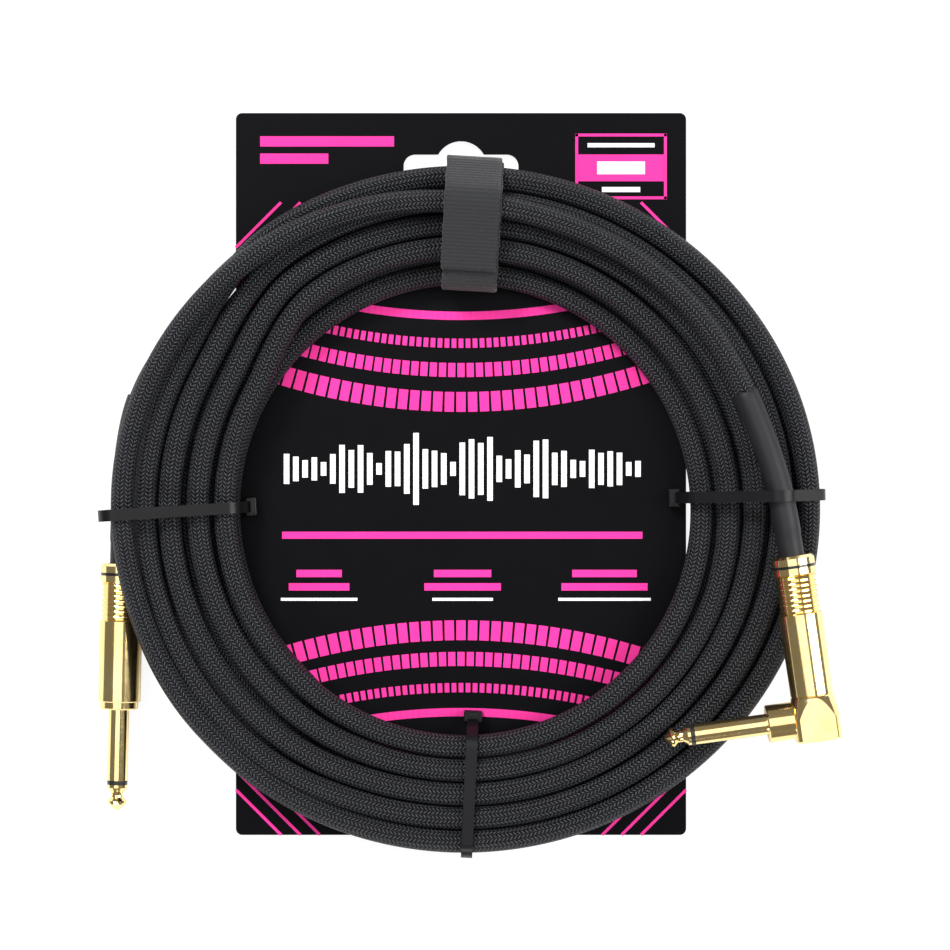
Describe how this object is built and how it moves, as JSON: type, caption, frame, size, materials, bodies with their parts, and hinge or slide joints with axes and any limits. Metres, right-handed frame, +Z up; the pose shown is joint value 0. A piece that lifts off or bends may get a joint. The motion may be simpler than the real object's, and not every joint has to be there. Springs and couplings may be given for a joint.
{
  "type": "instrument cable",
  "caption": "Coiled instrument cable with a woven black jacket, gold-plated straight and right-angle plugs, a hook and loop strap and a hang card.",
  "frame": {"origin": "middle of the outline in plan, on the surface that the pack lies on", "axes": "+Z up out of the card's front, +Y towards the hang slot, +X to the right seen from the front"},
  "size_m": [0.229, 0.232, 0.0314],
  "materials": {
    "gold_plate": "bright gold plating over turned brass, polished",
    "black_enamel": "gloss black fill in the barrel's groove",
    "ring_plastic": "black insulating ring",
    "inner_plastic": "natural insulating plastic",
    "liner_plastic": "clear-white insulating tube",
    "tinned_metal": "tinned brass, satin",
    "copper": "bare copper strands",
    "solder": "bright solder",
    "wire_coat": "white polyethylene",
    "rubber_sleeve": "matt black rubber",
    "braided_jacket": "black woven braid with a slight grey-blue sheen",
    "hook_and_loop_tape": "black ribbed hook and loop tape",
    "nylon_tie": "glossy black nylon",
    "printed_card": "black printed board, pink and white printing"
  },
  "bodies": {
    "coil_pack": {"cable_coil": "braided_jacket", "straight_tip": "gold_plate", "straight_tip_ring": "ring_plastic", "straight_sleeve": "gold_plate", "straight_core_insulator": "inner_plastic", "straight_rear_washer": "inner_plastic", "straight_tip_lug": "tinned_metal", "straight_ground_clamp": "tinned_metal", "straight_centre_wire": "copper", "straight_wire_coat": "wire_coat", "straight_shield_wire": "copper", "straight_solder": "solder", "angle_tip": "gold_plate", "angle_tip_ring": "ring_plastic", "angle_sleeve": "gold_plate", "angle_core_insulator": "inner_plastic", "angle_head": "gold_plate", "angle_lug_bush": "inner_plastic", "angle_tip_lug": "tinned_metal", "angle_ground_clamp": "tinned_metal", "angle_centre_wire": "copper", "angle_wire_coat": "wire_coat", "angle_shield_wire": "copper", "angle_solder": "solder", "straight_strain_relief": "rubber_sleeve", "straight_end_cable": "braided_jacket", "angle_strain_relief": "rubber_sleeve", "angle_end_cable": "braided_jacket", "left_cable_tie": "nylon_tie", "right_cable_tie": "nylon_tie", "bottom_cable_tie": "nylon_tie", "backing_card": "printed_card", "strap_loop_band": "hook_and_loop_tape"},
    "straight_liner": {"straight_barrel_liner": "liner_plastic"},
    "straight_barrel": {"straight_barrel": "gold_plate", "straight_barrel_band": "black_enamel"},
    "angle_liner": {"angle_barrel_liner": "liner_plastic"},
    "angle_barrel": {"angle_barrel": "gold_plate", "angle_barrel_band": "black_enamel"},
    "strap_tab": {"strap_hook_tab": "hook_and_loop_tape"}
  },
  "joints": [
    {"name": "straight_barrel_travel", "type": "slide", "parent": "coil_pack", "child": "straight_liner", "axis": [0.0232, 0.9997, 0], "range_m": [0, 0.0055]},
    {"name": "straight_barrel_turn", "type": "hinge", "parent": "straight_liner", "child": "straight_barrel", "pos_m": [-0.1079, -0.0681, 0.007], "axis": [0.0232, 0.9997, 0], "range_deg": [0, 1980]},
    {"name": "angle_barrel_travel", "type": "slide", "parent": "coil_pack", "child": "angle_liner", "axis": [-0.1404, 0.9901, 0], "range_m": [0, 0.0055]},
    {"name": "angle_barrel_turn", "type": "hinge", "parent": "angle_liner", "child": "angle_barrel", "pos_m": [0.10593, -0.06474, 0.0247], "axis": [-0.1404, 0.9901, 0], "range_deg": [0, 1980]},
    {"name": "strap_tab_peel", "type": "hinge", "parent": "coil_pack", "child": "strap_tab", "pos_m": [0.00357, 0.10045, 0.009], "axis": [-0.9983, 0.0576, 0], "range_deg": [0, 120]}
  ],
  "couplings": [
    {"joint": "straight_barrel_travel", "follows": "straight_barrel_turn", "m_per_rad": 0.00015915},
    {"joint": "angle_barrel_travel", "follows": "angle_barrel_turn", "m_per_rad": 0.00015915}
  ]
}
